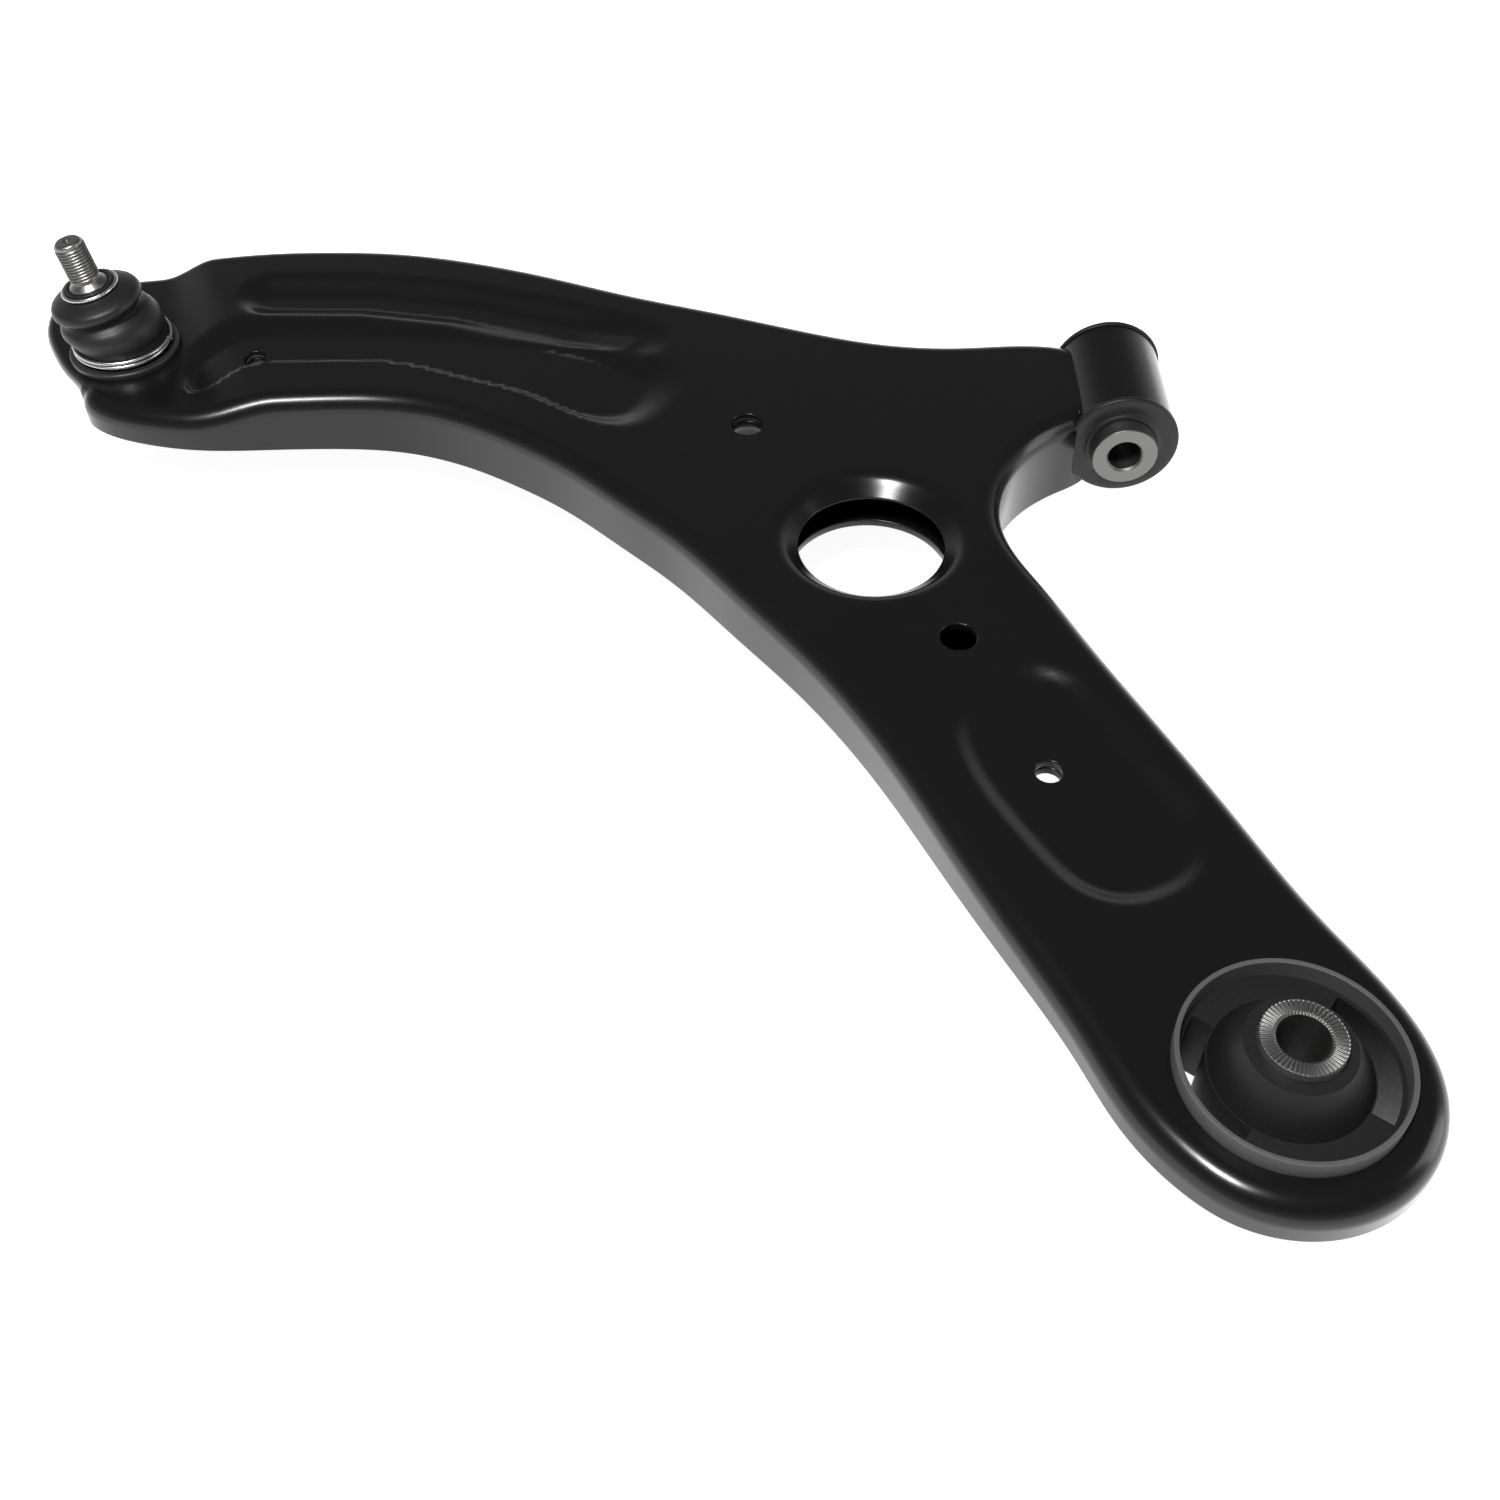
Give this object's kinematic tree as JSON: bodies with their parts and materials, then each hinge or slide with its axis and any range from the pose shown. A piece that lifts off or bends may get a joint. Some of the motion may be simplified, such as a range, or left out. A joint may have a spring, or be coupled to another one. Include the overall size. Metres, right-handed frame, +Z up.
{
  "type": "suspension control arm",
  "caption": "Stamped clamshell lower control arm with a front bushing, a large rear bushing and a booted ball joint.",
  "frame": {"origin": "centre of the rear bushing, halfway up its bolt bore", "axes": "+Z up along the rear bushing's bolt, +Y forward along the pivot axis to the front bushing, -X outboard to the ball joint"},
  "size_m": [0.4756, 0.4443, 0.0845],
  "materials": {
    "black_paint": "semi-gloss e-coat",
    "sleeve_coated": "matte phosphate",
    "rubber": "matte",
    "sleeve_steel": "machined",
    "stud_steel": "machined",
    "housing_steel": "phosphated",
    "seat_polymer": "matte",
    "clip_wire": "drawn wire",
    "weld_metal": "painted over"
  },
  "bodies": {
    "arm": {"upper_shell": "black_paint", "lower_shell": "black_paint", "shell_seam_welds": "weld_metal", "front_eye_tube": "black_paint", "front_eye_weld": "weld_metal", "front_bush_outer_sleeve": "sleeve_coated", "front_bush_rubber": "rubber", "rear_bush_outer_sleeve": "sleeve_coated", "rear_bush_rubber": "rubber", "ball_joint_housing": "housing_steel", "ball_seat": "seat_polymer", "ball_joint_end_cap": "housing_steel", "ball_joint_retaining_ring": "housing_steel", "boot_lower_clip": "clip_wire"},
    "front_bolt_sleeve": {"front_bush_inner_sleeve": "sleeve_steel"},
    "rear_bolt_sleeve": {"rear_bush_inner_sleeve": "sleeve_steel"},
    "boot_waist": {"boot_lower_fold": "rubber"},
    "boot_top": {"boot_upper_fold": "rubber", "boot_upper_clip": "clip_wire"},
    "stud": {"ball_stud": "stud_steel"}
  },
  "joints": [
    {"name": "front_bush_twist", "type": "hinge", "parent": "arm", "child": "front_bolt_sleeve", "pos_m": [-0.002, 0.3045, 0], "axis": [0, 1, 0], "range_deg": [-18, 18], "stiffness_Nm_per_rad": 40},
    {"name": "rear_bush_tilt", "type": "hinge", "parent": "arm", "child": "rear_bolt_sleeve", "pos_m": [-0.002, 0, 0], "axis": [0, 1, 0], "range_deg": [-18, 18], "stiffness_Nm_per_rad": 20, "deforming": ["rear_bush_rubber"]},
    {"name": "stud_tilt_fore_aft", "type": "hinge", "parent": "arm", "child": "boot_waist", "pos_m": [-0.394, 0.3385, -0.006], "axis": [1, 0, 0], "range_deg": [-13, 13], "deforming": ["boot_lower_fold"]},
    {"name": "stud_tilt_side", "type": "hinge", "parent": "boot_waist", "child": "boot_top", "pos_m": [-0.394, 0.3385, -0.006], "axis": [0, 1, 0], "range_deg": [-5, 22], "deforming": ["boot_upper_fold", "boot_lower_fold"]},
    {"name": "stud_spin", "type": "hinge", "parent": "boot_top", "child": "stud", "pos_m": [-0.394, 0.3385, -0.006], "axis": [-0.1444, 0, 0.9895], "continuous": true}
  ],
  "couplings": [
    {"joint": "rear_bush_tilt", "follows": "front_bush_twist", "ratio": 1}
  ]
}
